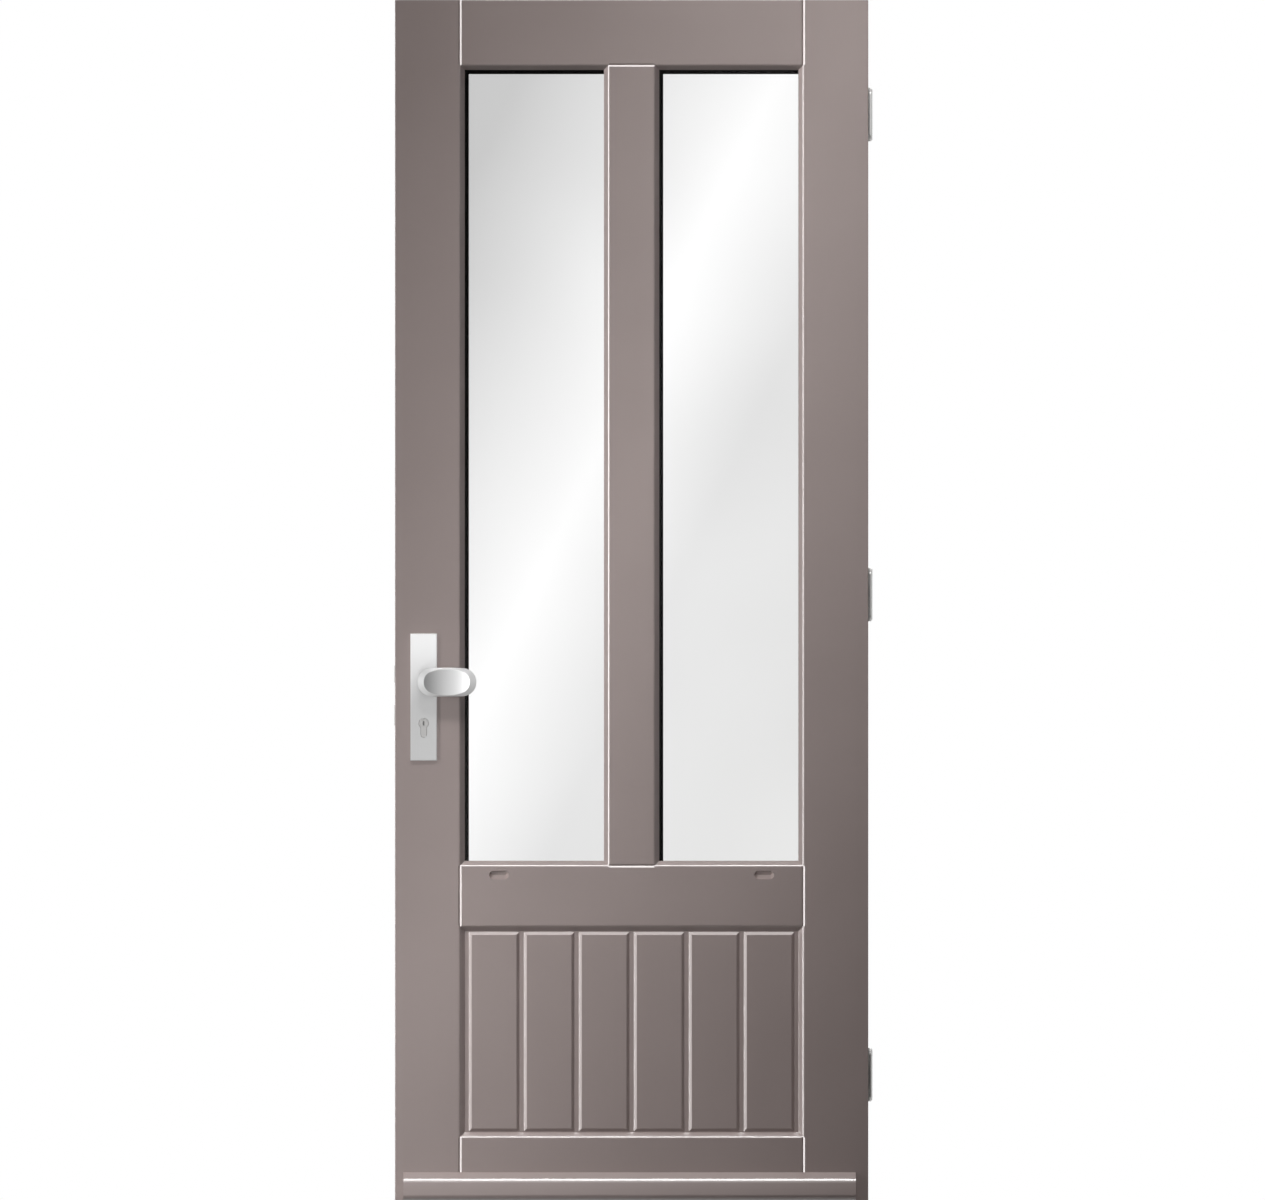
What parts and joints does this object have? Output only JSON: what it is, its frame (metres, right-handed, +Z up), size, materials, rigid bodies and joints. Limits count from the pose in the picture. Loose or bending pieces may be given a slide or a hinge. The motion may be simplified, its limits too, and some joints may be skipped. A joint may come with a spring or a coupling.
{
  "type": "front door",
  "caption": "Painted timber front door leaf: tall glazed openings over a panel of raised fields, weather bar, lock plate with a fixed oval knob and key cylinder, butt hinges.",
  "frame": {"origin": "middle of the wall face of the bottom hinge's frame flap, where it lies in the jamb", "axes": "+X out of that face into the jamb, to the right seen from outside; +Y from outside towards the room; +Z up"},
  "size_m": [0.8387, 0.1689, 2.115],
  "materials": {
    "painted_timber": "satin paint",
    "float_glass": "clear",
    "edge_seal": "matte black",
    "glazing_tape": "matte black",
    "satin_aluminium": "satin anodised",
    "lock_steel": "brushed",
    "hinge_steel": "satin",
    "nickelled_brass": "satin nickel plate"
  },
  "bodies": {
    "hinge_frame_side": {"bottom_frame_flap": "hinge_steel", "middle_frame_flap": "hinge_steel", "top_frame_flap": "hinge_steel", "bottom_hinge_pin": "hinge_steel", "middle_hinge_pin": "hinge_steel", "top_hinge_pin": "hinge_steel"},
    "leaf": {"lock_stile": "painted_timber", "hinge_stile": "painted_timber", "top_rail": "painted_timber", "mid_rail": "painted_timber", "bottom_rail": "painted_timber", "muntin": "painted_timber", "lower_panel": "painted_timber", "left_beads": "painted_timber", "right_beads": "painted_timber", "panel_beads": "painted_timber", "weather_bar": "painted_timber", "left_outer_pane": "float_glass", "left_inner_pane": "float_glass", "right_outer_pane": "float_glass", "right_inner_pane": "float_glass", "left_edge_seal": "edge_seal", "right_edge_seal": "edge_seal", "left_glazing_tapes": "glazing_tape", "right_glazing_tapes": "glazing_tape", "outside_plate": "satin_aluminium", "knob": "satin_aluminium", "inside_plate": "satin_aluminium", "inside_lever": "satin_aluminium", "lock_faceplate": "lock_steel", "latch_bolt": "lock_steel", "dead_bolt": "lock_steel", "bottom_leaf_flap": "hinge_steel", "middle_leaf_flap": "hinge_steel", "top_leaf_flap": "hinge_steel", "cylinder": "nickelled_brass"},
    "key_plug": {"key_plug": "nickelled_brass"}
  },
  "joints": [
    {"name": "door_swing", "type": "hinge", "parent": "hinge_frame_side", "child": "leaf", "pos_m": [-0.00375, 0.02575, 0], "axis": [0, 0, -1], "range_deg": [0, 175]},
    {"name": "key_turn", "type": "hinge", "parent": "leaf", "child": "key_plug", "pos_m": [-0.7845, -0.04425, 0.617], "axis": [0, 1, 0], "continuous": true}
  ]
}
